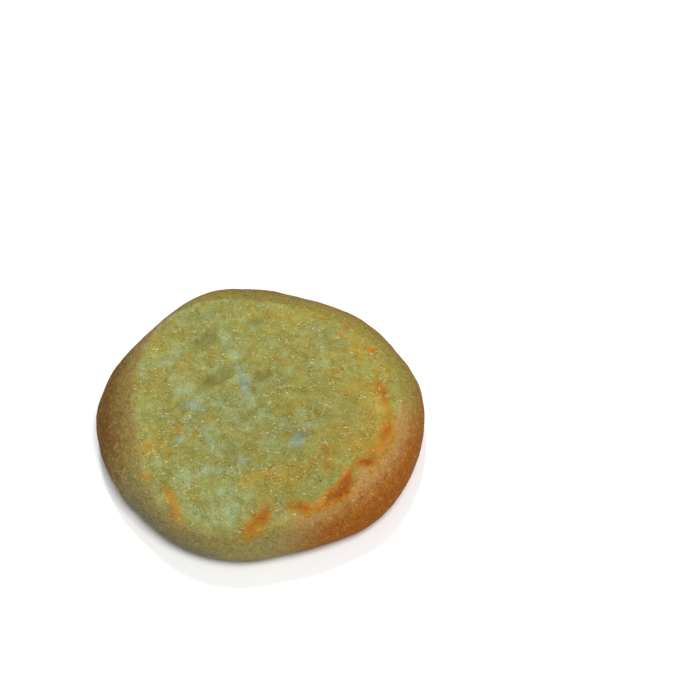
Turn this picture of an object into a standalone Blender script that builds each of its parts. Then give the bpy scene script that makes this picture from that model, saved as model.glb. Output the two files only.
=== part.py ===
"""Cheese manakish: a small, thick round flatbread under a baked layer of melted white cheese.

Metres, +Z up. The bread rests on its flat base, and the side towards -Y is its front.
"""

from math import cos, exp, hypot, pi, radians, sin

import bmesh
import bpy
from mathutils import Vector, noise

MM = 0.001

# The dough. Waves are (number of lobes, height, direction of a crest in degrees).
RIM_RADIUS = 57.5 * MM  # from the middle to the widest line of the side
RIM_WAVES = (
    (2, 1.2 * MM, 0),
    (3, 0.9 * MM, -10),
    (4, 0.5 * MM, 10),
    (5, 0.8 * MM, 35),
    (6, 0.3 * MM, 0),
    (7, 0.3 * MM, 5),
)
DOUGH_HEIGHT = 19 * MM
SHOULDER_RADIUS = 11 * MM  # the side rolls over to the flat top
FOOT_WIDTH = 6 * MM  # how far the side tucks in down to the flat base
PUFF_HEIGHT = 0.4 * MM  # soft unevenness of the baked side
PUFF_SIZE = 17 * MM

# The cheese, with distances over the dough's skin from the middle
CHEESE_RADIUS = 49.2 * MM
CHEESE_WAVES = (
    (1, 2.4 * MM, -105),
    (2, 0.4 * MM, 65),
    (3, 3.3 * MM, 9),
    (4, 0.7 * MM, -32),
    (5, 0.3 * MM, 30),
    (6, 0.5 * MM, 5),
)
CHEESE_THICKNESS = 1.8 * MM
EDGE_THICKNESS = 1.0 * MM
EDGE_WAVES = ((1, 0.4 * MM, 190),)  # the edge is thickest on the left
EDGE_SLOPE = 9 * MM  # the layer thickens over this distance from its edge
FRAY_HEIGHT = 0.6 * MM  # small unevenness of the edge
FRAY_SIZE = 5 * MM
GAP = 0.3 * MM  # between the dough and the cheese

# Baked relief of the cheese: (x, y, length, width, direction in degrees, height), in millimetres
HOLLOWS = (
    (-21.2, 25.3, 13, 5.0, 50, -0.8),
    (-3.7, 33.0, 8, 4.5, 33, -0.6),
    (-16.2, 8.0, 13, 6.0, 39, -0.8),
    (-0.3, 7.9, 5, 5.0, 36, -0.7),
    (-28.0, -4.7, 6, 4.5, 103, -0.6),
    (12.4, 10.5, 5, 5.0, 139, -0.4),
    (-11.7, -23.5, 5, 5.0, 118, -0.5),
    (24.3, 28.0, 4, 3.5, 110, -0.4),
)
RIDGES = (
    (-16.4, 16.5, 20, 5.0, 19, 0.5),
    (-33.1, 9.5, 14, 6.0, 8, 0.4),
    (12.1, -20.3, 5, 6.0, 39, 0.4),
)
BLISTERS = (
    (42.2, 1.7, 6, 4.0, 90, 0.5),
    (43.6, -14.0, 7, 4.5, 83, 0.5),
    (39.4, -23.2, 4, 4.0, 70, 0.4),
    (34.8, -27.9, 5, 4.0, 13, 0.5),
    (27.9, -34.8, 6, 4.0, 68, 0.5),
    (23.6, -39.6, 7, 4.5, 32, 0.5),
    (13.3, -44.9, 4, 3.5, 24, 0.4),
    (0.0, -47.3, 6, 5.0, 50, 0.5),
    (-27.9, -44.8, 6, 4.0, 119, 0.4),
    (31.2, 31.1, 4, 3.5, 21, 0.4),
)
LUMPS = ((7 * MM, 0.35 * MM), (3.6 * MM, 0.18 * MM))  # size and height of the random lumps

# Mesh: how many columns cross the bread, and how many layers its side has
DOUGH_COLUMNS = 24
DOUGH_LAYERS = 12
SHOULDER_LAYERS = 7
CHEESE_COLUMNS = 44
CHEESE_LAYERS = 4

DOUGH_COLOUR = (0.42, 0.22, 0.085, 1)
CHEESE_COLOUR = (0.40, 0.36, 0.12, 1)


def waves(mean, lobes, turn):
    """A length that swings about its mean as it goes round the bread."""
    return mean + sum(height * cos(count * (turn - radians(crest))) for count, height, crest in lobes)


def rim(turn):
    return waves(RIM_RADIUS, RIM_WAVES, turn)


def cheese_end(turn):
    """How far over the dough's skin the cheese reaches."""
    end = waves(CHEESE_RADIUS, CHEESE_WAVES, turn)
    return end + FRAY_HEIGHT * noise.noise(place(turn, end, 0) / FRAY_SIZE)


def place(turn, out, height):
    return Vector((out * cos(turn), out * sin(turn), height))


def skin(turn, reach, lift=0.0):
    """The point this far from the middle over the dough's top and shoulder, lifted off it."""
    flat = rim(turn) - SHOULDER_RADIUS
    roll = max(reach - flat, 0) / SHOULDER_RADIUS
    out = min(reach, flat) + SHOULDER_RADIUS * sin(roll)
    height = DOUGH_HEIGHT - SHOULDER_RADIUS * (1 - cos(roll))
    lift += PUFF_HEIGHT * noise.noise(place(turn, out, height) / PUFF_SIZE)
    return place(turn, out + lift * sin(roll), height + lift * cos(roll))


def foot(turn, tuck):
    """The point on the side below its widest line; tuck runs from 0 there to 90 degrees at the base."""
    belly = skin(turn, rim(turn) - SHOULDER_RADIUS + SHOULDER_RADIUS * pi / 2)
    out = hypot(belly.x, belly.y) - FOOT_WIDTH * (1 - cos(tuck))
    return place(turn, out, belly.z * (1 - sin(tuck)))


def spot(x, y, size):
    """How much of an oval (x, y, length, width, direction, height) is felt at a place, in metres."""
    middle_x, middle_y, length, width, direction, height = size
    east, north = x / MM - middle_x, y / MM - middle_y
    angle = radians(direction)
    along = (east * cos(angle) + north * sin(angle)) / (length / 2 + width / 4)
    across = (north * cos(angle) - east * sin(angle)) / (width / 2)
    return height * MM * exp(-(along**2) - across**2)


def relief(x, y):
    """The cheese's baked lumps, hollows and blisters at a place seen from above."""
    height = sum(spot(x, y, size) for size in HOLLOWS + RIDGES + BLISTERS)
    for size, lump in LUMPS:
        height += lump * noise.noise(Vector((x, y, 0)) / size)
    return height


def cut_box(columns, layers):
    """A cube from -1 to 1 cut into columns both ways and into layers."""
    box = bmesh.new()
    bmesh.ops.create_cube(box, size=2)
    for axis, parts in enumerate((columns, columns, layers)):
        across = [edge for edge in box.edges if abs(edge.verts[0].co[axis] - edge.verts[1].co[axis]) > 1]
        bmesh.ops.subdivide_edges(box, edges=across, cuts=parts - 1)
    return box


def round_place(corner):
    """A box point's turn about the middle and its share of the way out, with a square made a disc."""
    x, y = corner.x, corner.y
    share = max(abs(x), abs(y))
    if share == 0:
        return 0.0, 0.0
    if abs(x) >= abs(y):
        return (0 if x > 0 else pi) + pi / 4 * y / x, share
    return (pi / 2 if y > 0 else -pi / 2) - pi / 4 * x / y, share


def dough_point(corner):
    turn, share = round_place(corner)
    flat = rim(turn) - SHOULDER_RADIUS
    layer = (1 - corner.z) / 2 * DOUGH_LAYERS
    if share < 1 and corner.z > 0:
        return skin(turn, share * flat)
    if layer <= SHOULDER_LAYERS:
        return skin(turn, flat + SHOULDER_RADIUS * pi / 2 * layer / SHOULDER_LAYERS)
    tuck = pi / 2 * (layer - SHOULDER_LAYERS) / (DOUGH_LAYERS - SHOULDER_LAYERS)
    edge = foot(turn, tuck)
    return edge * share if share < 1 else edge


def cheese_point(corner):
    turn, share = round_place(corner)
    edge = waves(EDGE_THICKNESS, EDGE_WAVES, turn)
    lip = edge / 2
    end = cheese_end(turn) - lip
    if share == 1:
        bend = pi / 2 * corner.z
        return skin(turn, end + lip * cos(bend), GAP + lip + lip * sin(bend))
    reach = share * end
    if corner.z < 0:
        return skin(turn, reach, GAP)
    inside = 1 - exp(-(end - reach) / EDGE_SLOPE)
    thickness = edge + (CHEESE_THICKNESS - edge) * inside
    above = skin(turn, reach)
    return skin(turn, reach, GAP + thickness + relief(above.x, above.y) * min(1, 3 * inside))


def material(name, colour, roughness):
    made = bpy.data.materials.new(name)
    made.use_nodes = True
    surface = made.node_tree.nodes["Principled BSDF"]
    surface.inputs["Base Color"].default_value = colour
    surface.inputs["Roughness"].default_value = roughness
    surface.inputs["Metallic"].default_value = 0
    return made


def shaped(box, rule):
    """The box with each point moved to where the rule puts it."""
    for vertex in box.verts:
        vertex.co = rule(vertex.co.copy())
    return box


def footprint_middle(shape):
    """The middle of a shape's box seen from above."""
    across = [vertex.co.x for vertex in shape.verts]
    along = [vertex.co.y for vertex in shape.verts]
    return Vector(((min(across) + max(across)) / 2, (min(along) + max(along)) / 2, 0))


def piece(name, shape, middle, finish, collection):
    """A sub-part, with the bread's middle on the origin."""
    bmesh.ops.translate(shape, verts=shape.verts, vec=-middle)
    for face in shape.faces:
        face.smooth = True
    mesh = bpy.data.meshes.new(name)
    shape.to_mesh(mesh)
    shape.free()
    mesh.materials.append(finish)
    made = bpy.data.objects.new(name, mesh)
    collection.objects.link(made)


def main():
    for old in list(bpy.data.objects):
        bpy.data.objects.remove(old, do_unlink=True)
    manakish = bpy.data.collections.new("cheese_manakish")
    bpy.context.scene.collection.children.link(manakish)
    crust = material("baked_dough", DOUGH_COLOUR, 0.6)
    melted = material("melted_cheese", CHEESE_COLOUR, 0.4)
    dough = shaped(cut_box(DOUGH_COLUMNS, DOUGH_LAYERS), dough_point)
    cheese = shaped(cut_box(CHEESE_COLUMNS, CHEESE_LAYERS), cheese_point)
    middle = footprint_middle(dough)
    piece("dough", dough, middle, crust, manakish)
    piece("cheese", cheese, middle, melted, manakish)


main()
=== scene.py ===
from math import cos, pi, radians, sin

import bpy
from mathutils import Matrix, Vector


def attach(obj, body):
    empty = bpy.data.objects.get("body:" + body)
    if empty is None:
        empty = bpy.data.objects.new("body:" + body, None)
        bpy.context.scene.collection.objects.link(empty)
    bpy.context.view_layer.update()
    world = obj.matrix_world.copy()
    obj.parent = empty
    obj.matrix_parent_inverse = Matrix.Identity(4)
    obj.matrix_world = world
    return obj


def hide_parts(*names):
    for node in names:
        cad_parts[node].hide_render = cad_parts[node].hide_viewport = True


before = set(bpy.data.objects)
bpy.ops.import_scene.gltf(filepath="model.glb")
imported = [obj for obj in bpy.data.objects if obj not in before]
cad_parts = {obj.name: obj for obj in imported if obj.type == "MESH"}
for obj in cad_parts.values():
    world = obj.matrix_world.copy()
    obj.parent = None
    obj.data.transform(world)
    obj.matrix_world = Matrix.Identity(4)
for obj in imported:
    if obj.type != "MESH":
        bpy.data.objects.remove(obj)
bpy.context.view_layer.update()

MM = 0.001

# ---------------------------------------------------------------- sizes of the bread
# Waves are (number of lobes, height, direction of a crest in degrees).
BREAD_MIDDLE = Vector((-0.13 * MM, -0.54 * MM, 0))  # the waves' middle, in the frame
RIM_RADIUS = 57.5 * MM
RIM_WAVES = (
    (2, 1.2 * MM, 0),
    (3, 0.9 * MM, -10),
    (4, 0.5 * MM, 10),
    (5, 0.8 * MM, 35),
    (6, 0.3 * MM, 0),
    (7, 0.3 * MM, 5),
)
DOUGH_HEIGHT = 19 * MM
SHOULDER_RADIUS = 11 * MM
BELLY_HEIGHT = DOUGH_HEIGHT - SHOULDER_RADIUS
FOOT_WIDTH = 6 * MM
HIDDEN_TOP = 9 * MM  # how far the crust reaches in under the cheese
SEEN_BASE = 12 * MM  # how far its rings reach in over the base
SWELL_HEIGHT, SWELL_WIDTH = 0.85 * MM, 6 * MM  # the dough has risen round the cheese's edge

CHEESE_RADIUS = 49.2 * MM
CHEESE_WAVES = (
    (1, 2.4 * MM, -105),
    (2, 0.4 * MM, 65),
    (3, 3.3 * MM, 9),
    (4, 0.7 * MM, -32),
    (5, 0.3 * MM, 30),
    (6, 0.5 * MM, 5),
)
CHEESE_THICKNESS = 1.8 * MM
EDGE_THICKNESS = 1.0 * MM
EDGE_WAVES = ((1, 0.4 * MM, 190),)
EDGE_SLOPE = 9 * MM
EDGE_SINK = 0.3 * MM  # how far the baked edge has sunk into the dough
SINK_WAVES = ((1, 0.3 * MM, 190),)
UNDERSIDE = 14 * MM  # how far the cheese's underside follows the crust before it lies flat
FRAY_HEIGHT, FRAY_SIZE = 0.6 * MM, 5 * MM
GAP = 0.1 * MM  # left under the cheese, before its edge sinks in
MELT_WIDTH = 2.8  # how far in from its edge the cheese takes the dough's colour, in millimetres
MELT_WAVES = ((1, 1.2, -40),)

# Ovals on the cheese: (x, y, length, width, direction in degrees, height), in millimetres
HOLLOWS = (
    (-21.2, 25.3, 13, 5.0, 50, -0.8),
    (-3.7, 33.0, 8, 4.5, 33, -0.6),
    (-16.2, 8.0, 13, 6.0, 39, -0.8),
    (-0.3, 7.9, 5, 5.0, 36, -0.7),
    (-28.0, -4.7, 6, 4.5, 103, -0.6),
    (12.4, 10.5, 5, 5.0, 139, -0.4),
    (-11.7, -23.5, 5, 5.0, 118, -0.5),
    (24.3, 28.0, 4, 3.5, 110, -0.4),
)
RIDGES = (
    (-16.4, 16.5, 20, 5.0, 19, 0.5),
    (-33.1, 9.5, 14, 6.0, 8, 0.4),
    (12.1, -20.3, 5, 6.0, 39, 0.4),
)
BLISTERS = (
    (42.2, 1.7, 6, 4.0, 90, 0.5),
    (43.6, -14.0, 7, 4.5, 83, 0.5),
    (39.4, -23.2, 4, 4.0, 70, 0.4),
    (34.8, -27.9, 5, 4.0, 13, 0.5),
    (27.9, -34.8, 6, 4.0, 68, 0.5),
    (23.6, -39.6, 7, 4.5, 32, 0.5),
    (13.3, -44.9, 4, 3.5, 24, 0.4),
    (0.0, -47.3, 6, 5.0, 50, 0.5),
    (-27.9, -44.8, 6, 4.0, 119, 0.4),
    (31.2, 31.1, 4, 3.5, 21, 0.4),
)
# Ovals of colour alone, whose last number is how strongly they show. These are the toasted patches.
TOASTED = (
    (42.6, 1.9, 7, 4.5, 98, 1.05),
    (44.5, -6.0, 8, 3.5, 109, 0.5),
    (43.4, -14.0, 8, 5.5, 79, 0.8),
    (30.7, -18.1, 5, 3.5, 82, 0.55),
    (39.8, -22.5, 13, 8.0, 58, 0.75),
    (34.6, -27.9, 5, 4.0, 7, 1.2),
    (28.1, -34.3, 8, 4.0, 70, 1.2),
    (23.8, -39.9, 10, 5.5, 33, 1.35),
    (13.0, -44.7, 7, 4.0, 179, 1.1),
    (0.2, -47.7, 7, 6.5, 50, 1.0),
    (-4.5, -52.0, 7, 5.5, 57, 0.55),
    (-28.3, -44.7, 8, 4.5, 113, 0.65),
    (-30.9, -38.4, 6, 3.5, 119, 0.5),
    (-38.7, -32.3, 4, 3.0, 122, 0.5),
    (-38.0, -21.0, 10, 5.5, 10, 0.35),
    (21.7, -29.3, 3, 3.0, 107, 0.6),
    (17.2, -27.8, 3, 3.0, 154, 0.6),
    (3.3, -31.6, 9, 4.7, 6, 0.35),
    (32.3, 31.1, 4, 2.5, 147, 0.8),
    (30.1, 27.1, 9, 3.0, 148, 0.35),
    (40.1, 21.4, 4, 2.5, 139, 0.9),
    (40.6, 18.6, 5, 2.5, 108, 0.4),
    (-29.3, -14.7, 3, 2.5, 0, 0.55),
    (-39.3, 9.4, 5, 3.0, 146, 0.35),
    (-40.3, 26.9, 7, 2.5, 105, 0.5),
    (-39.6, 19.3, 3, 2.0, 123, 0.45),
)
# Lumps of curd that stayed whole
CURDS = (
    (-6.9, 6.0, 15, 5.0, 102, 1.0),
    (-23.7, -5.2, 6, 4.5, 142, 1.1),
    (12.1, -18.8, 6, 5.5, 60, 1.05),
    (8.6, -13.4, 5, 3.0, 123, 0.5),
    (-28.1, -18.8, 3, 3.6, 0, 0.75),
    (-18.1, -19.1, 4, 3.2, 155, 0.7),
    (-7.6, -26.6, 5, 3.2, 144, 0.7),
    (-43.5, 13.4, 5, 4.0, 114, 0.6),
)
# Pale, greenish patches, where the curd has hardly melted
PALE = (
    (-14.0, -14.0, 50, 34.0, 50, 0.3),
    (-12.0, -46.0, 30, 12.0, 165, 0.45),
    (-26.0, 28.0, 34, 18.0, 40, 0.3),
    (-11.5, 21.2, 12, 9.0, 104, 0.6),
    (-14.3, -3.0, 8, 6.0, 170, 0.6),
    (-27.1, 2.6, 7, 5.0, 164, 0.6),
    (-34.0, 12.0, 8, 6.0, 131, 0.4),
    (-21.3, 36.4, 6, 5.0, 24, 0.5),
    (-36.5, 38.0, 12, 5.0, 50, 0.6),
    (-13.7, 44.3, 7, 5.0, 135, 0.5),
    (-3.0, 31.3, 5, 4.0, 166, 0.7),
    (20.6, 30.0, 6, 5.0, 121, 0.6),
    (21.8, 22.0, 6, 4.0, 11, 0.6),
    (29.8, 21.0, 7, 4.0, 109, 0.6),
    (22.6, 3.1, 8, 5.0, 23, 0.5),
    (36.6, 9.5, 4, 5.0, 119, 0.5),
    (19.5, -10.6, 5, 4.0, 11, 0.5),
    (1.9, 0.3, 6, 4.0, 158, 0.3),
    (-22.0, -31.0, 14, 6.0, 11, 0.5),
    (-10.7, -38.7, 9, 6.0, 50, 0.4),
    (-19.0, -17.0, 7, 5.0, 116, 0.5),
    (17.0, -35.5, 8, 5.0, 29, 0.35),
    (0.2, -37.7, 5, 4.0, 12, 0.3),
)
# Patches that have turned amber
AMBER = (
    (38.0, 6.0, 44, 28.0, 95, 0.45),
    (8.3, 36.6, 6, 6.0, 153, 0.4),
    (17.8, 37.6, 6, 5.0, 153, 0.5),
    (44.6, 12.2, 10, 5.0, 137, 0.6),
    (41.5, -2.0, 14, 7.0, 100, 0.5),
    (38.0, -16.0, 16, 9.0, 70, 0.45),
    (29.1, 2.5, 8, 7.0, 127, 0.4),
    (35.2, 21.4, 8, 5.0, 17, 0.5),
    (15.9, 21.8, 6, 4.0, 152, 0.3),
    (16.1, -0.7, 8, 5.0, 16, 0.3),
    (-36.0, -19.0, 10, 10.0, 138, 0.3),
    (-37.0, 20.0, 8, 5.0, 20, 0.45),
    (4.0, -34.0, 16, 10.0, 11, 0.8),
    (-7.1, -36.1, 6, 3.0, 98, 0.3),
    (24.0, -24.0, 20, 12.0, 45, 0.45),
    (-34.0, -9.0, 14, 12.0, 90, 0.25),
    (0.0, 40.0, 36, 12.0, 0, 0.15),
)
# Where the cheese is made a little darker
DARKER_OVALS = (
    (14.0, -24.0, 34, 68.0, 0, 0.2),
    (-35.0, -10.0, 18, 16.0, 90, 0.12),
    (46.0, 11.0, 14, 12.0, 100, 0.12),
    (3.0, -43.0, 14, 9.0, 8, 0.1),
)
# Dark specks of pepper and herb: (x, y), in millimetres
SPECKS = (
    (28.7, 11.1),
    (38.6, 31.7),
    (42.4, 21.0),
    (43.5, 1.2),
    (19.3, -34.7),
    (1.4, -53.3),
    (33.0, -39.9),
    (-36.8, -39.4),
    (54.2, 1.6),
)

# Random relief of the cheese: (size, height)
LUMPS = ((7 * MM, 0.68 * MM), (3.6 * MM, 0.42 * MM), (2 * MM, 0.16 * MM))
GRAIN = ((1.3 * MM, 0.14 * MM), (0.7 * MM, 0.1 * MM))
CREASE_SIZE, CREASE_DEPTH = 4.5 * MM, 0.4 * MM  # fine folds in the melted layer
CREASED_SIZE = 9 * MM  # stretches that have such folds, among others that don't
PUFF_SIZE, RIPPLE_SIZE, GRIT_SIZE = 15 * MM, 3.2 * MM, 1.2 * MM  # random relief of the crust
RAGGED_SIZE = 2.2 * MM  # nicks in the outline of a patch
ROUGH_SIZE = 5 * MM  # rougher and smoother stretches of the cheese
BUNCH_SIZE, BEND_SIZE = 2.8 * MM, 1.2 * MM  # bunches of shreds, and the bends of each
CRUMPLE_SIZE = 0.4 * MM  # unevenness of a flake or a crumb

# The smallest and the largest of what is strewn on the bread: (length, width, thickness)
SHREDS = ((0.5 * MM, 0.34 * MM, 0.26 * MM), (2.0 * MM, 0.6 * MM, 0.42 * MM))
FLAKES = ((0.6 * MM, 0.4 * MM, 0.25 * MM), (1.2 * MM, 0.7 * MM, 0.4 * MM))
FINE_FLAKES = ((0.25 * MM, 0.2 * MM, 0.15 * MM), (0.5 * MM, 0.35 * MM, 0.25 * MM))
CRUMBS = ((0.25 * MM, 0.2 * MM, 0.2 * MM), (0.7 * MM, 0.5 * MM, 0.4 * MM))
SHRED_SLANT = radians(52)  # the most that a shred turns away from lying left to right

# Sides of the dough with a colour of their own, some of it painted shade: (middle, full out to, gone at), in
# degrees
TOASTED_SIDE = (-41, 19, 47)
# The left side: brown crust made darker still by painted shade, as on a side turned from the light
DUSKY_SHADED_SIDE = (175, 16, 48)
# The back: darker as painted shade along the far rim
SHADED_BACK_SIDE = (95, 30, 80)
# The front left: a cool grey that is painted shade, where the side is turned from the light
GREY_SHADED_SIDE = (234, 10, 28)
FLANK_SIDE = (27, 30, 50)

# ---------------------------------------------------------------- camera and light
IMAGE = 700
CAMERA_LENS, CAMERA_FILM = 50, 36
CAMERA_HEIGHT = radians(56)
CAMERA_DISTANCE = 354.6 * MM
AIM_HEIGHT = 11 * MM
AIM_PIXEL = (262.7, 410.0)  # where the bread's middle stands in the picture
FLOOR_SIZE = 6
ROOM_LIGHT = 0.3  # even light from all round

NOISE_STRETCH = 3.2  # brings the values of a noise node to between about -1 and 1


class Number:
    """A value that runs through a node tree, so that a rule reads like a sum."""

    def __init__(self, tree, socket):
        self.tree = tree
        self.socket = socket

    def __add__(self, other):
        return self.tree.math("ADD", self, other)

    __radd__ = __add__

    def __sub__(self, other):
        return self.tree.math("SUBTRACT", self, other)

    def __rsub__(self, other):
        return self.tree.math("SUBTRACT", other, self)

    def __mul__(self, other):
        return self.tree.math("MULTIPLY", self, other)

    def __truediv__(self, other):
        return self.tree.math("DIVIDE", self, other)


class Tree:
    """Builds a node tree step by step."""

    def __init__(self, nodes, links):
        self.nodes = nodes
        self.links = links

    def node(self, kind, inputs=(), **settings):
        made = self.nodes.new(kind)
        for name, value in settings.items():
            setattr(made, name, value)
        for name, value in dict(inputs).items():
            self.feed(made.inputs[name], value)
        return made

    def feed(self, socket, value):
        if isinstance(value, Number):
            value = value.socket
        if isinstance(value, bpy.types.NodeSocket):
            self.links.new(value, socket)
        else:
            socket.default_value = value

    def math(self, operation, *values):
        made = self.node("ShaderNodeMath", operation=operation)
        for socket, value in zip(made.inputs, values):
            self.feed(socket, value)
        return Number(self, made.outputs[0])

    def cos(self, angle):
        return self.math("COSINE", angle)

    def sin(self, angle):
        return self.math("SINE", angle)

    def low(self, *values):
        return self.math("MINIMUM", *values)

    def high(self, *values):
        return self.math("MAXIMUM", *values)

    def share(self, value, start, end):
        """How far a value is on its way from start to end, eased, from 0 to 1."""
        made = self.node("ShaderNodeMapRange", interpolation_type="SMOOTHSTEP")
        for name, given in (("Value", value), ("From Min", start), ("From Max", end)):
            self.feed(made.inputs[name], given)
        return Number(self, made.outputs["Result"])

    def parts(self, vector):
        split = self.node("ShaderNodeSeparateXYZ", {"Vector": vector})
        return [Number(self, socket) for socket in split.outputs]

    def vector(self, x, y, z):
        return self.node("ShaderNodeCombineXYZ", {"X": x, "Y": y, "Z": z}).outputs[0]

    def around(self, turn, out, height):
        """The point in a direction from the middle, this far out and this high."""
        return self.vector(self.cos(turn) * out, self.sin(turn) * out, height)

    def times(self, vector, factor):
        made = self.node("ShaderNodeVectorMath", {"Scale": factor}, operation="SCALE")
        self.feed(made.inputs[0], vector)
        return made.outputs[0]

    def noise(self, place, size, seed, detail=2.0, roughness=0.5):
        """Soft random heights between about -1 and 1, with lumps of a size."""
        inputs = {
            "Vector": place,
            "W": float(seed),
            "Scale": 1 / size,
            "Detail": detail,
            "Roughness": roughness,
        }
        made = self.node("ShaderNodeTexNoise", inputs, noise_dimensions="4D")
        return (Number(self, made.outputs[0]) - 0.5) * NOISE_STRETCH

    def waves(self, mean, lobes, turn):
        """A length that swings about its mean as it goes round the bread."""
        total = mean
        for count, height, crest in lobes:
            total = total + self.cos(turn * count - count * radians(crest)) * height
        return total


def oval_group():
    """A node group: how much of one oval is felt at a place.

    Crisp is 1 for a soft edge, and more for a steep one.
    """
    group = bpy.data.node_groups.new("oval", "GeometryNodeTree")
    labels = ("East", "North", "Crisp", "X", "Y", "Length", "Width", "Direction", "Height")
    for label in labels:
        group.interface.new_socket(label, socket_type="NodeSocketFloat")
    group.interface.new_socket("Felt", in_out="OUTPUT", socket_type="NodeSocketFloat")
    tree = Tree(group.nodes, group.links)
    start = tree.node("NodeGroupInput")
    east, north, crisp, x, y, length, width, direction, height = (
        Number(tree, start.outputs[label]) for label in labels
    )
    east, north = east - x, north - y
    turn = direction * radians(1)
    along = (east * tree.cos(turn) + north * tree.sin(turn)) / (length * 0.5 + width * 0.25)
    across = (north * tree.cos(turn) - east * tree.sin(turn)) / (width * 0.5)
    away = tree.math("POWER", along * along + across * across, crisp)
    tree.feed(tree.node("NodeGroupOutput").inputs[0], tree.math("EXPONENT", away * -1.0) * height)
    return group


OVAL = oval_group()


class Growth(Tree):
    """A Geometry Nodes tree with named sizes that grows one piece."""

    def __init__(self, name, **sizes):
        self.group = bpy.data.node_groups.new(name, "GeometryNodeTree")
        super().__init__(self.group.nodes, self.group.links)
        self.group.interface.new_socket("Geometry", in_out="OUTPUT", socket_type="NodeSocketGeometry")
        self.sizes = {}
        for label, size in sizes.items():
            kind = "NodeSocketInt" if isinstance(size, int) else "NodeSocketFloat"
            self.sizes[label] = (self.group.interface.new_socket(label, socket_type=kind), size)
        self.start = self.node("NodeGroupInput")

    def size(self, label):
        return Number(self, self.start.outputs[label])

    def place(self):
        return self.node("GeometryNodeInputPosition").outputs[0]

    def normal(self):
        return self.node("GeometryNodeInputNormal").outputs[0]

    def move(self, shape, to=None, by=None):
        made = self.node("GeometryNodeSetPosition", {"Geometry": shape})
        if to is not None:
            self.feed(made.inputs["Position"], to)
        if by is not None:
            self.feed(made.inputs["Offset"], by)
        return made.outputs[0]

    def push_out(self, shape, height):
        """Moves each point straight out of the surface by a height."""
        return self.move(shape, by=self.times(self.normal(), height))

    def keep(self, shape, name, value):
        """Writes a value to every point, for the finish to read."""
        inputs = {"Geometry": shape, "Name": name, "Value": value}
        made = self.node("GeometryNodeStoreNamedAttribute", inputs, data_type="FLOAT", domain="POINT")
        return made.outputs[0]

    def recall(self, name):
        made = self.node("GeometryNodeInputNamedAttribute", {"Name": name}, data_type="FLOAT")
        return Number(self, made.outputs[0])

    def ovals(self, east, north, table, crisp=1.0):
        """The sum of a table's ovals at a place."""
        total = 0.0
        for spot in table:
            made = self.node("GeometryNodeGroup", node_tree=OVAL)
            for socket, value in zip(made.inputs, (east, north, crisp, *spot)):
                self.feed(socket, value)
            total = Number(self, made.outputs[0]) + total
        return total

    def random_between(self, low, high, seed):
        """A random vector for each point."""
        made = self.node("FunctionNodeRandomValue", {"Seed": seed}, data_type="FLOAT_VECTOR")
        self.feed(made.inputs[0], low)
        self.feed(made.inputs[1], high)
        return made.outputs[0]

    def join(self, *shapes):
        made = self.node("GeometryNodeJoinGeometry")
        for shape in shapes:
            self.links.new(shape, made.inputs[0])
        return made.outputs[0]

    def surface(self, *pieces):
        """The meshes of finished pieces, for others to be strewn on."""
        infos = [self.node("GeometryNodeObjectInfo", {"Object": piece}) for piece in pieces]
        return self.join(*(info.outputs["Geometry"] for info in infos))

    def scatter(self, surface, density, seed):
        """Random points on a surface, and which way it faces at each."""
        inputs = {"Mesh": surface, "Density": density, "Seed": seed}
        made = self.node("GeometryNodeDistributePointsOnFaces", inputs, distribute_method="RANDOM")
        return made.outputs["Points"], made.outputs["Normal"]

    def strew(self, points, normal, bit, sizes, slant, seed):
        """Lays a bit on each point, flat on the surface, between two sizes and up to a slant from east."""
        turn = self.parts(self.random_between((-slant, 0, 0), (slant, 0, 0), seed))[0]
        inputs = {"Axis": (0.0, 0.0, 1.0), "Angle": turn}
        spin = self.node("FunctionNodeAxisAngleToRotation", inputs).outputs[0]
        laid = self.node("FunctionNodeAlignRotationToVector", {"Rotation": spin, "Vector": normal}, axis="Z")
        inputs = {
            "Points": points,
            "Instance": bit,
            "Rotation": laid.outputs[0],
            "Scale": self.random_between(*sizes, seed + 1),
        }
        bits = self.node("GeometryNodeInstanceOnPoints", inputs).outputs[0]
        return self.node("GeometryNodeRealizeInstances", {"Geometry": bits}).outputs[0]

    def grow(self, name, shape, finish):
        """Ends the tree, and turns what it grows into a plain mesh object."""
        smooth = self.node("GeometryNodeSetShadeSmooth", {"Geometry": shape}).outputs[0]
        whole = self.node("GeometryNodeRealizeInstances", {"Geometry": smooth}).outputs[0]
        dressed = self.node("GeometryNodeSetMaterial", {"Geometry": whole, "Material": finish}).outputs[0]
        end = self.node("NodeGroupOutput")
        self.links.new(dressed, end.inputs[0])
        seed = bpy.data.objects.new(name + "_seed", bpy.data.meshes.new(name + "_seed"))
        bpy.context.scene.collection.objects.link(seed)
        modifier = seed.modifiers.new(name, "NODES")
        modifier.node_group = self.group
        for socket, size in self.sizes.values():
            modifier[socket.identifier] = size
        graph = bpy.context.evaluated_depsgraph_get()
        mesh = bpy.data.meshes.new_from_object(seed.evaluated_get(graph), depsgraph=graph)
        bpy.data.objects.remove(seed)
        mesh.name = name
        piece = bpy.data.objects.new(name, mesh)
        bpy.context.scene.collection.objects.link(piece)
        return piece


# ---------------------------------------------------------------- the bread's form
def rim(tree, turn):
    return tree.waves(RIM_RADIUS, RIM_WAVES, turn)


def on_skin(tree, turn, reach, lift):
    """The point this far from the middle over the dough's top and shoulder, lifted off it."""
    flat = rim(tree, turn) - SHOULDER_RADIUS
    roll = tree.high(reach - flat, 0.0) / SHOULDER_RADIUS
    out = tree.low(reach, flat) + (lift + SHOULDER_RADIUS) * tree.sin(roll)
    height = (lift + SHOULDER_RADIUS) * tree.cos(roll) + BELLY_HEIGHT
    return tree.around(turn, out, height)


def cheese_end(tree, turn):
    """How far over the dough's skin the cheese reaches."""
    round_edge = tree.around(turn, CHEESE_RADIUS, 0.0)
    fray = tree.noise(round_edge, FRAY_SIZE, 8, detail=3.0) * FRAY_HEIGHT
    return tree.waves(CHEESE_RADIUS, CHEESE_WAVES, turn) + fray


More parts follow.
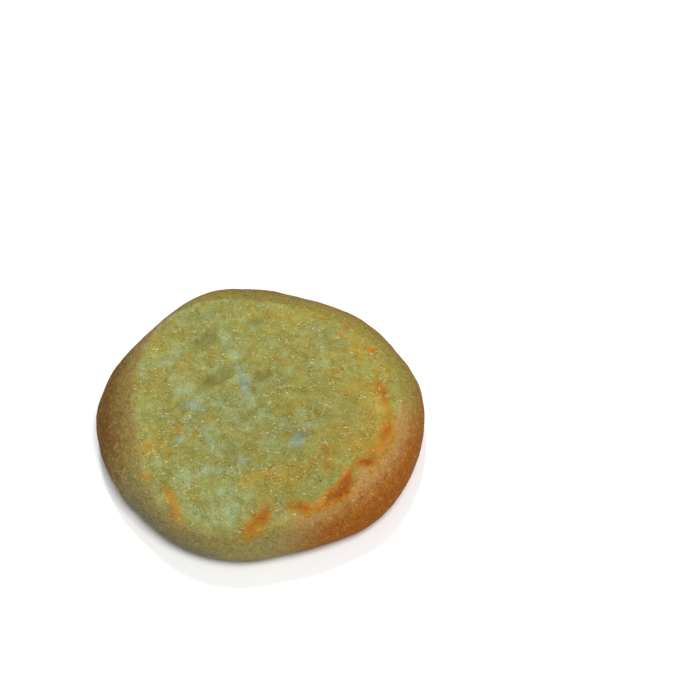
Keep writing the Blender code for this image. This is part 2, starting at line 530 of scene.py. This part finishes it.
def ragged_place(tree, here, far):
    """A place in millimetres, pushed about so that what is drawn there gets a ragged outline."""
    east, north, _ = (part / MM for part in tree.parts(here))
    east = east + tree.noise(here, RAGGED_SIZE, 21, detail=3.0, roughness=0.6) * far
    north = north + tree.noise(here, RAGGED_SIZE, 22, detail=3.0, roughness=0.6) * far
    return east, north


def toasting(tree, here):
    return tree.ovals(*ragged_place(tree, here, 1.4), TOASTED)


def crust_piece(finish):
    """The dough's skin: a drum whose side is bent over the shoulder, round the foot and in over the base."""
    tree = Growth("crust", Around=780, Down=110, Puff=0.5 * MM, Ripple=0.12 * MM, Grit=0.04 * MM)
    inputs = {
        "Vertices": tree.size("Around"),
        "Side Segments": tree.size("Down"),
        "Radius": 1.0,
        "Depth": 2.0,
    }
    drum = tree.node("GeometryNodeMeshCylinder", inputs, fill_type="NGON").outputs["Mesh"]
    x, y, z = tree.parts(tree.place())
    turn = tree.math("ARCTAN2", y, x)
    shoulder = SHOULDER_RADIUS * pi / 2
    foot = (FOOT_WIDTH + BELLY_HEIGHT) / 2 * pi / 2
    length = HIDDEN_TOP + shoulder + foot + SEEN_BASE
    run = (1.0 - z) * (length / 2) - HIDDEN_TOP
    flat = rim(tree, turn) - SHOULDER_RADIUS
    beyond = flat + run - cheese_end(tree, turn)
    hug = tree.share(beyond, -3 * MM, -0.6 * MM) * (1.0 - tree.share(beyond, 0.0, SWELL_WIDTH))
    radius = hug * SWELL_HEIGHT + SHOULDER_RADIUS
    roll = tree.low(tree.high(run, 0.0), shoulder) / SHOULDER_RADIUS
    tuck = tree.low(tree.high(run - shoulder, 0.0), foot) * (pi / 2 / foot)
    inwards = tree.high(run - (shoulder + foot), 0.0)
    out = flat + tree.low(run, 0.0) + tree.sin(roll) * radius
    out = out - (1.0 - tree.cos(tuck)) * FOOT_WIDTH - inwards
    height = tree.cos(roll) * radius + BELLY_HEIGHT - tree.sin(tuck) * BELLY_HEIGHT
    shape = tree.keep(drum, "run", run / MM)
    shape = tree.keep(shape, "beyond", beyond / MM)
    shape = tree.move(shape, to=tree.around(turn, out, height))
    here = tree.place()
    toast = toasting(tree, here) * (1.0 - tree.share(tree.recall("run"), 8.0, 13.0))
    shape = tree.keep(shape, "toast", toast)
    above = tree.share(tree.parts(here)[2], 0.2 * MM, 3 * MM)
    free = tree.share(tree.recall("beyond"), -0.5, 2.0)
    puff = tree.noise(here, PUFF_SIZE, 3, detail=1.0) * tree.size("Puff")
    ripple = tree.noise(here, RIPPLE_SIZE, 5, detail=3.0) * tree.size("Ripple")
    grit = tree.noise(here, GRIT_SIZE, 6, detail=1.0) * tree.size("Grit")
    shape = tree.push_out(shape, (puff + ripple + grit) * above * free)
    shape = tree.move(shape, by=tuple(BREAD_MIDDLE))
    return tree.grow("bread_crust", shape, finish)


def disc_drum(tree, columns, layers):
    """A drum of radius 1 from -1 to 1 whose top is an even grid, closed below by one flat face."""
    inputs = {
        "Size": (2.0, 2.0, 2.0),
        "Vertices X": columns + 1,
        "Vertices Y": columns + 1,
        "Vertices Z": layers + 1,
    }
    box = tree.node("GeometryNodeMeshCube", inputs).outputs[0]
    facing = tree.parts(tree.normal())[2]
    inputs = {"Geometry": box, "Selection": tree.math("LESS_THAN", facing, -0.5)}
    box = tree.node("GeometryNodeDeleteGeometry", inputs, domain="FACE").outputs[0]
    x, y, z = tree.parts(tree.place())
    wide, deep = tree.math("ABSOLUTE", x), tree.math("ABSOLUTE", y)
    side = tree.math("GREATER_THAN", wide + 1e-6, deep)
    turn_side = tree.math("LESS_THAN", x, 0.0) * pi + y / x * (pi / 4)
    turn_front = tree.math("SIGN", y) * (pi / 2) - x / y * (pi / 4)
    turn = side * turn_side + (1.0 - side) * turn_front
    out = tree.high(wide, deep)
    drum = tree.move(box, to=tree.around(turn, out, z))
    circle = tree.node("GeometryNodeMeshCircle", {"Vertices": columns * 4, "Radius": 1.0}, fill_type="NGON")
    floor = tree.move(circle.outputs[0], by=(0.0, 0.0, -1.0))
    floor = tree.node("GeometryNodeFlipFaces", {"Mesh": floor}).outputs[0]
    inputs = {"Geometry": tree.join(drum, floor), "Distance": 1e-4}
    return tree.node("GeometryNodeMergeByDistance", inputs).outputs[0]


def cheese_piece(finish):
    """The melted layer: a drum whose top lies over the dough, with a rounded lip and a hidden underside."""
    tree = Growth("cheese", Columns=280, Layers=14, Grain=1.0)
    drum = disc_drum(tree, tree.size("Columns"), tree.size("Layers"))
    x, y, z = tree.parts(tree.place())
    out = tree.math("SQRT", x * x + y * y)
    turn = tree.math("ARCTAN2", y, x)
    down = (1.0 - z) * 0.5
    top = tree.math("LESS_THAN", down, 1e-3)
    lip_share = 0.35
    bend = pi / 2 - tree.low(down / lip_share, 1.0) * pi
    inwards = tree.high(down - lip_share, 0.0) * (UNDERSIDE / (1 - lip_share))
    edge = tree.waves(EDGE_THICKNESS, EDGE_WAVES, turn)
    lip = edge * 0.5
    end = cheese_end(tree, turn) - lip
    reach = out * end + lip * tree.cos(bend) - inwards
    inside = 1.0 - tree.math("EXPONENT", tree.low(reach - end, 0.0) / EDGE_SLOPE)
    sink = tree.waves(EDGE_SINK, SINK_WAVES, turn) * (1.0 - inside * top)
    lift = lip + lip * tree.sin(bend) + GAP + top * (CHEESE_THICKNESS - edge) * inside - sink
    shape = tree.keep(drum, "inside", inside * top)
    shape = tree.keep(shape, "from_edge", tree.high(end - reach, 0.0) / MM)
    shape = tree.move(shape, to=on_skin(tree, turn, reach, lift))
    here = tree.place()
    place = ragged_place(tree, here, 1.0)
    hollow = tree.ovals(*place, HOLLOWS, crisp=2.0)
    shape = tree.keep(shape, "hollow", hollow * -1.4)
    shape = tree.keep(shape, "toast", toasting(tree, here))
    shape = tree.keep(shape, "curd", tree.ovals(*place, CURDS, crisp=1.3))
    shape = tree.keep(shape, "pale", tree.ovals(*place, PALE))
    shape = tree.keep(shape, "amber", tree.ovals(*place, AMBER))
    shape = tree.keep(shape, "baked", tree.ovals(*place, DARKER_OVALS))
    patchy = tree.noise(here, ROUGH_SIZE, 31, detail=2.0)
    calm = tree.recall("hollow") * 1.6 + tree.recall("toast") * 0.2 + tree.recall("curd") * 0.6
    shape = tree.keep(shape, "rough", tree.share(patchy - calm, -0.9, 0.6))
    felt = tree.low(tree.recall("inside") * 3.0, 1.0)
    height = (hollow + tree.ovals(*place, RIDGES) + tree.ovals(*place, BLISTERS)) * MM
    for seed, (size, lump) in enumerate(LUMPS):
        height = height + tree.noise(here, size, 11 + seed, detail=1.0) * lump
    fold = tree.math("ABSOLUTE", tree.noise(here, CREASE_SIZE, 15, detail=1.0))
    folded = tree.share(tree.noise(here, CREASED_SIZE, 16, detail=1.0), -0.1, 0.5)
    height = height - (1.0 - tree.share(fold, 0.0, 0.25)) * folded * CREASE_DEPTH
    shape = tree.push_out(shape, height * felt)
    grain = 0.0
    for seed, (size, lump) in enumerate(GRAIN):
        grain = tree.noise(here, size, 41 + seed, detail=1.0) * lump + grain
    felt = (felt * 0.7 + 0.3) * (tree.recall("rough") * 0.8 + 0.2) * tree.size("Grain")
    shape = tree.push_out(shape, grain * felt)
    shape = tree.move(shape, by=tuple(BREAD_MIDDLE))
    return tree.grow("cheese_layer", shape, finish)


def shreds_piece(finish, cheese):
    """Melted shreds of cheese: thin lenses that lie half sunk in the layer, thickest where it is rough."""
    tree = Growth("shreds", Density=2.7 / MM**2, Bend=0.35 * MM)
    ball = tree.node("GeometryNodeMeshUVSphere", {"Segments": 5, "Rings": 5, "Radius": 0.5}).outputs[0]
    lens = tree.node("GeometryNodeTransform", {"Geometry": ball, "Rotation": (0.0, pi / 2, 0.0)}).outputs[0]
    here = tree.place()
    bunched = tree.share(tree.noise(here, BUNCH_SIZE, 91, detail=2.0), -0.2, 0.7)
    bare = tree.share(tree.recall("toast"), 0.2, 0.9) * 0.85
    density = tree.recall("rough") * bunched * (1.0 - bare) * tree.size("Density")
    density = density * tree.share(tree.recall("inside"), 0.03, 0.15)
    points, normal = tree.scatter(tree.surface(cheese), density, 4)
    creamy = tree.parts(tree.random_between((0.0, 0.0, 0.0), (1.0, 1.0, 1.0), 8))[0]
    points = tree.keep(points, "creamy", creamy)
    shape = tree.strew(points, normal, lens, SHREDS, SHRED_SLANT, 5)
    bend = tree.noise(here, BEND_SIZE, 92, detail=1.0) * tree.size("Bend")
    shape = tree.move(shape, by=tree.vector(0.0, bend, 0.0))
    return tree.grow("melted_shreds", shape, finish)


def specks_piece(finish, *ground):
    """Flakes of pepper and herb at their places, and a few finer ones anywhere on the cheese."""
    tree = Growth("specks", Finer=0.004 / MM**2)
    flake = tree.node("GeometryNodeMeshIcoSphere", {"Radius": 0.5, "Subdivisions": 2}).outputs[0]
    surface = tree.surface(*ground)
    spots = [(x * MM + BREAD_MIDDLE.x, y * MM + BREAD_MIDDLE.y, 2 * DOUGH_HEIGHT) for x, y in SPECKS]
    points = [tree.node("GeometryNodePoints", {"Count": 1, "Position": spot}) for spot in spots]
    listed = tree.join(*(point.outputs[0] for point in points))
    inputs = {
        "Target Geometry": surface,
        "Source Position": tree.place(),
        "Ray Direction": (0.0, 0.0, -1.0),
        "Ray Length": 4 * DOUGH_HEIGHT,
    }
    fall = tree.node("GeometryNodeRaycast", inputs, data_type="FLOAT")
    fallen = tree.move(listed, to=fall.outputs["Hit Position"])
    large = tree.strew(fallen, fall.outputs["Hit Normal"], flake, FLAKES, pi, 21)
    points, normal = tree.scatter(surface, tree.size("Finer"), 9)
    fine = tree.strew(points, normal, flake, FINE_FLAKES, pi, 23)
    crumple = tree.noise(tree.place(), CRUMPLE_SIZE, 93, detail=1.0) * (0.06 * MM)
    shape = tree.push_out(tree.join(large, fine), crumple)
    return tree.grow("pepper_specks", shape, finish)


def crumbs_piece(finish, crust):
    """Small pale crumbs on the crust of the toasted side."""
    tree = Growth("crumbs", Density=0.03 / MM**2)
    crumb = tree.node("GeometryNodeMeshIcoSphere", {"Radius": 0.5, "Subdivisions": 2}).outputs[0]
    here = tree.place()
    x, y, _ = tree.parts(here)
    middle, full, gone = (radians(angle) for angle in TOASTED_SIDE)
    near = tree.share(tree.cos(tree.math("ARCTAN2", y, x) - middle), cos(gone), cos(full))
    on_top = tree.share(tree.recall("beyond"), 0.0, 3.0) * (1.0 - tree.share(tree.recall("run"), 12.0, 16.0))
    points, normal = tree.scatter(tree.surface(crust), near * on_top * tree.size("Density"), 3)
    shape = tree.strew(points, normal, crumb, CRUMBS, pi, 31)
    crumple = tree.noise(here, CRUMPLE_SIZE, 94, detail=1.0) * (0.08 * MM)
    shape = tree.push_out(shape, crumple)
    return tree.grow("crust_crumbs", shape, finish)


# ---------------------------------------------------------------- finishes
class Finish(Tree):
    """A material built on one Principled shader."""

    def __init__(self, name):
        self.material = bpy.data.materials.new(name)
        self.material.use_nodes = True
        super().__init__(self.material.node_tree.nodes, self.material.node_tree.links)
        self.surface = self.nodes["Principled BSDF"]

    def place(self):
        return self.node("ShaderNodeTexCoord").outputs["Object"]

    def recall(self, name):
        return Number(self, self.node("ShaderNodeAttribute", attribute_name=name).outputs["Fac"])

    def mix(self, factor, first, second):
        made = self.node("ShaderNodeMix", data_type="RGBA")
        for index, value in ((0, factor), (6, first), (7, second)):
            self.feed(made.inputs[index], value)
        return made.outputs[2]

    def turn(self, place):
        """The direction of a place from the bread's middle."""
        x, y, _ = self.parts(place)
        return self.math("ARCTAN2", y - BREAD_MIDDLE.y, x - BREAD_MIDDLE.x)

    def dots(self, place, spacing, small, large):
        """Round dots, one to about every spacing: 1 inside the small radius and 0 outside the large one."""
        inputs = {"Vector": place, "Scale": 1 / spacing}
        made = self.node("ShaderNodeTexVoronoi", inputs, voronoi_dimensions="3D", feature="F1")
        return 1.0 - self.share(Number(self, made.outputs["Distance"]), small / spacing, large / spacing)

    def bump(self, height, distance):
        inputs = {"Height": height, "Distance": distance, "Strength": 1.0}
        return self.node("ShaderNodeBump", inputs).outputs[0]

    def set(self, **values):
        for label, value in values.items():
            self.feed(self.surface.inputs[label.replace("_", " ")], value)
        return self.material


def colour(red, green, blue):
    """A screen colour from 0 to 255 as linear light."""
    return tuple(((part / 255 + 0.055) / 1.055) ** 2.4 for part in (red, green, blue)) + (1.0,)


LIGHT_YELLOW = (1.0, 0.99, 0.64, 1.0)  # the glints of butterfat
WARM_SHINE = (1.0, 0.86, 0.4, 1.0)  # the crust's faint gloss
CREAM_AND_GLINT = (200, 196, 136)  # pale shreds, and painted glints on the cheese


def tinted_side(finish, place, mottle, side):
    """How much of a side's own colour, some of it painted shade, is felt at a place: all near its middle,
    less to its ends.
    """
    middle, full, gone = (radians(angle) for angle in side)
    away = finish.cos(finish.turn(place) - middle) + mottle * 0.05
    return finish.share(away, cos(gone), cos(full))


def dough_tint(finish, place, mottle, belly):
    """The dough's colour, painted shade on some sides, from beside the cheese (belly 0) to its widest line
    (belly 1).
    """
    toasted = tinted_side(finish, place, mottle, TOASTED_SIDE)
    dusky_shade = tinted_side(finish, place, mottle, DUSKY_SHADED_SIDE)
    back = tinted_side(finish, place, mottle, SHADED_BACK_SIDE)
    grey_shade = tinted_side(finish, place, mottle, GREY_SHADED_SIDE)
    flank = tinted_side(finish, place, mottle, FLANK_SIDE)
    tint = finish.mix(belly, colour(148, 137, 74), colour(152, 140, 89))
    # Painted shade: the cool grey of the front left side
    tint = finish.mix(grey_shade, tint, finish.mix(belly, colour(142, 130, 78), colour(127, 121, 89)))
    # Painted shade: the back rim darker
    tint = finish.mix(back, tint, finish.mix(belly, colour(136, 126, 61), colour(134, 103, 54)))
    tint = finish.mix(flank, tint, finish.mix(belly, colour(142, 131, 62), colour(142, 107, 46)))
    tint = finish.mix(toasted, tint, finish.mix(belly, colour(176, 134, 80), colour(156, 90, 24)))
    # The left side's darker brown is partly browning and partly painted shade
    return finish.mix(dusky_shade, tint, finish.mix(belly, colour(135, 117, 65), colour(111, 79, 34)))


def toasted_tint(finish, tint, toast, patch, fleck):
    """A colour with the toasted patches over it: a golden rim, a brown middle and darker flecks."""
    browned = toast + (patch * 0.4 + fleck * 0.25) * finish.share(toast, 0.0, 0.25)
    tint = finish.mix(finish.share(browned, 0.0, 0.75) * 0.85, tint, colour(164, 122, 36))
    tint = finish.mix(finish.share(browned, 0.35, 1.4) * 0.95, tint, colour(168, 90, 6))
    return finish.mix(finish.share(browned + fleck * 0.3, 0.8, 1.7) * 0.7, tint, colour(118, 60, 4))


def crust_finish():
    finish = Finish("baked_crust")
    place = finish.place()
    beyond, run, toast = (finish.recall(name) for name in ("beyond", "run", "toast"))
    mottle = finish.noise(place, 2.4 * MM, 51, detail=4.0, roughness=0.6)
    fine = finish.noise(place, 0.5 * MM, 52, detail=3.0, roughness=0.6)
    blotch = finish.noise(place, 1.3 * MM, 53, detail=3.0, roughness=0.6)
    tint = dough_tint(finish, place, mottle, finish.share(beyond + mottle * 3.0, 0.0, 9.0))
    under = finish.share(run + mottle * 1.5, 22.0, 29.0)
    tint = finish.mix(under, tint, colour(150, 106, 56))
    tint = toasted_tint(finish, tint, toast, mottle, blotch)
    tint = finish.mix(finish.share(mottle + blotch * 0.6, 0.0, 1.1) * 0.65, tint, colour(106, 60, 18))
    grains = fine * 0.8 + blotch * 0.6 - mottle * 0.4
    tint = finish.mix(finish.share(grains, 0.0, 1.2) * 0.5, tint, colour(192, 158, 100))
    # Dark dots at small pits: partly dark specks of crust, partly painted shade in the pits that the bump
    # dips
    pores = finish.dots(place, 2.2 * MM, 0.2 * MM, 0.6 * MM) * finish.share(mottle + fine * 0.3, 0.0, 0.6)
    tint = finish.mix(pores * 0.7, tint, colour(84, 48, 22))
    tint = finish.times(tint, 1.0 + mottle * 0.16 + blotch * 0.3 + fine * 0.4)
    return finish.set(
        Base_Color=tint,
        Roughness=0.75,
        IOR=1.3,
        Specular_IOR_Level=0.2,
        Specular_Tint=WARM_SHINE,
        Normal=finish.bump(fine + mottle + blotch - pores * 2.0, 0.2 * MM),
    )


def cheese_tint(finish, place):
    """The cheese's colours, from the patches, hollows, curds and toasting that its points carry."""
    toast, curd, pale, amber, hollow = (
        finish.recall(name) for name in ("toast", "curd", "pale", "amber", "hollow")
    )
    broad = finish.noise(place, 4.5 * MM, 61, detail=2.0)
    patch = finish.noise(place, 2.2 * MM, 62, detail=4.0, roughness=0.6)
    fleck = finish.noise(place, 0.7 * MM, 63, detail=2.0)
    soft = finish.noise(place, 3 * MM, 66, detail=0.0)
    drift = finish.noise(place, 4.5 * MM, 61, detail=0.0)
    cool = pale + soft * 0.35 + drift * 0.55 - amber
    tint = finish.mix(finish.share(cool, -1.1, 0.3), colour(160, 134, 48), colour(135, 133, 66))
    tint = finish.mix(finish.share(cool + fleck * 0.1, -0.1, 1.5), tint, colour(134, 148, 107))
    # Darker olive in the hollows: partly thin, oily cheese, partly painted shade in the hollows
    tint = finish.mix(finish.share(hollow + patch * 0.3, 0.1, 1.0) * 0.75, tint, colour(112, 110, 56))
    whey = finish.mix(finish.share(soft, -0.3, 0.5), colour(128, 146, 112), colour(136, 140, 128))
    lumpy = finish.share(curd * 1.3 + patch * 0.45 + fleck * 0.35, 0.0, 1.5)
    tint = finish.mix(lumpy, tint, whey)
    melt = finish.waves(MELT_WIDTH, MELT_WAVES, finish.turn(place))
    edge = finish.share(finish.recall("from_edge") + fleck * 0.8 + patch * 0.6, 0.0, melt)
    tint = finish.mix(edge, dough_tint(finish, place, patch, 0.0), tint)
    # Random lighter and darker stretches: partly the cheese's uneven tone, partly painted shading of broad
    # folds
    wide = finish.noise(place, 8 * MM, 67, detail=1.0)
    uneven = wide * 0.13 + broad * 0.2 + soft * 0.1 + patch * 0.2 + fleck * 0.24
    shade = 1.05 - finish.recall("baked") + uneven
    return finish.times(toasted_tint(finish, tint, toast, patch, fleck), shade)


def shred_and_glint_strokes(finish, place):
    """Short fine strokes, half a millimetre wide, like the shreds that the cheese melted from, also painted
    cream as glints.
    """
    line = finish.math("ABSOLUTE", finish.noise(place, 1.5 * MM, 71, detail=1.0))
    cut = finish.noise(place, 1.1 * MM, 72, detail=1.0)
    return (1.0 - finish.share(line, 0.05, 0.3)) * finish.share(cut, 0.1, 0.6)


def cheese_finish():
    finish = Finish("melted_cheese")
    place = finish.place()
    rough, toast = finish.recall("rough"), finish.recall("toast")
    bead = finish.noise(place, 0.7 * MM, 64, detail=1.0, roughness=0.6)
    wet = rough * (1.0 - finish.share(toast, 0.2, 0.9) * 0.85)
    # Strokes raised by the bump and painted cream: painted glints as well as pale shreds
    strokes = shred_and_glint_strokes(finish, place) * wet
    return finish.set(
        Base_Color=finish.mix(strokes * 0.5, cheese_tint(finish, place), colour(*CREAM_AND_GLINT)),
        Roughness=0.55 - wet * 0.27,
        Specular_IOR_Level=0.2,
        Specular_Tint=LIGHT_YELLOW,
        Normal=finish.bump(bead * (rough * 0.5 + 0.3) + strokes, 0.3 * MM),
    )


def shred_finish():
    """The melted shreds have the cheese's own colours, some of them creamier as painted glints, and shine
    more.
    """
    finish = Finish("cheese_shreds")
    place = finish.place()
    bead = finish.noise(place, 0.5 * MM, 65, detail=1.0)
    # Creamier shreds: pale cheese, partly painted glints
    creamy = finish.share(finish.recall("creamy") + bead * 0.5, 0.2, 1.2) * 0.8
    return finish.set(
        Base_Color=finish.mix(creamy, cheese_tint(finish, place), colour(*CREAM_AND_GLINT)),
        Roughness=0.33,
        Specular_IOR_Level=0.8,
        Specular_Tint=LIGHT_YELLOW,
        Normal=finish.bump(bead, 0.15 * MM),
    )


def speck_finish():
    finish = Finish("pepper")
    grain = finish.noise(finish.place(), 0.4 * MM, 81, detail=2.0)
    tint = finish.mix(finish.share(grain, -0.6, 0.8), colour(46, 34, 18), colour(88, 62, 30))
    return finish.set(Base_Color=tint, Roughness=0.6)


def crumb_finish():
    finish = Finish("crumbs")
    grain = finish.noise(finish.place(), 0.5 * MM, 82, detail=2.0)
    tint = finish.mix(finish.share(grain, -0.6, 0.8), colour(150, 100, 52), colour(190, 150, 100))
    return finish.set(Base_Color=tint, Roughness=0.7)


def floor_finish():
    finish = Finish("pale_floor")
    return finish.set(Base_Color=colour(244, 244, 243), Roughness=0.8)


# ---------------------------------------------------------------- the set
def add_camera():
    """The camera looks from the front and above; the bread's middle stands at its pixel."""
    back = Vector((0, -cos(CAMERA_HEIGHT), sin(CAMERA_HEIGHT)))
    right = Vector((1, 0, 0))
    straight = Matrix((right, back.cross(right), back)).transposed()
    scale = CAMERA_FILM / CAMERA_LENS / IMAGE
    middle = IMAGE / 2
    ray = Vector(((AIM_PIXEL[0] - middle) * scale, (middle - AIM_PIXEL[1]) * scale, -1))
    aside = Vector((0, 0, -1)).rotation_difference(ray).to_matrix()
    camera = bpy.data.objects.new("camera", bpy.data.cameras.new("camera"))
    camera.data.lens = CAMERA_LENS
    camera.data.sensor_width = CAMERA_FILM
    camera.data.clip_start = 0.01
    spot = BREAD_MIDDLE + Vector((0, 0, AIM_HEIGHT)) + back * CAMERA_DISTANCE
    camera.matrix_world = Matrix.Translation(spot) @ (straight @ aside.transposed()).to_4x4()
    bpy.context.scene.collection.objects.link(camera)
    bpy.context.scene.camera = camera


def add_light(name, azimuth, elevation, distance, size, power):
    """A square softbox that faces the bread. Azimuth 0 is to the right and 90 behind the bread."""
    light = bpy.data.objects.new(name, bpy.data.lights.new(name, "AREA"))
    light.data.size = size
    light.data.energy = power
    turn, rise = radians(azimuth), radians(elevation)
    spot = Vector((cos(turn) * cos(rise), sin(turn) * cos(rise), sin(rise))) * distance
    light.location = spot
    light.rotation_euler = spot.to_track_quat("Z", "Y").to_euler()
    bpy.context.scene.collection.objects.link(light)


def add_room(finish):
    bpy.ops.mesh.primitive_plane_add(size=FLOOR_SIZE)
    floor = bpy.context.object
    floor.name = "floor"
    floor.data.materials.append(finish)
    world = bpy.data.worlds.new("room")
    bpy.context.scene.world = world
    world.use_nodes = True
    sky = world.node_tree.nodes["Background"]
    sky.inputs["Color"].default_value = (1, 1, 1, 1)
    sky.inputs["Strength"].default_value = ROOM_LIGHT
    add_light("key", azimuth=-60, elevation=73, distance=1.0, size=0.45, power=8.0)
    add_light("glint", azimuth=100, elevation=60, distance=1.0, size=0.1, power=3.6)


add_camera()
scene = bpy.context.scene
scene.view_settings.view_transform = "Standard"
scene.view_settings.look = "None"
add_room(floor_finish())

crust = crust_piece(crust_finish())
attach(crust, "root")
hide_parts("dough")

cheese = cheese_piece(cheese_finish())
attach(cheese, "root")
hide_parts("cheese")

shreds = shreds_piece(shred_finish(), cheese)
specks = specks_piece(speck_finish(), cheese, crust)
crumbs = crumbs_piece(crumb_finish(), crust)
for bits, slot in ((shreds, "melted_cheese"), (specks, "baked_dough"), (crumbs, "baked_dough")):
    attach(bits, "root")
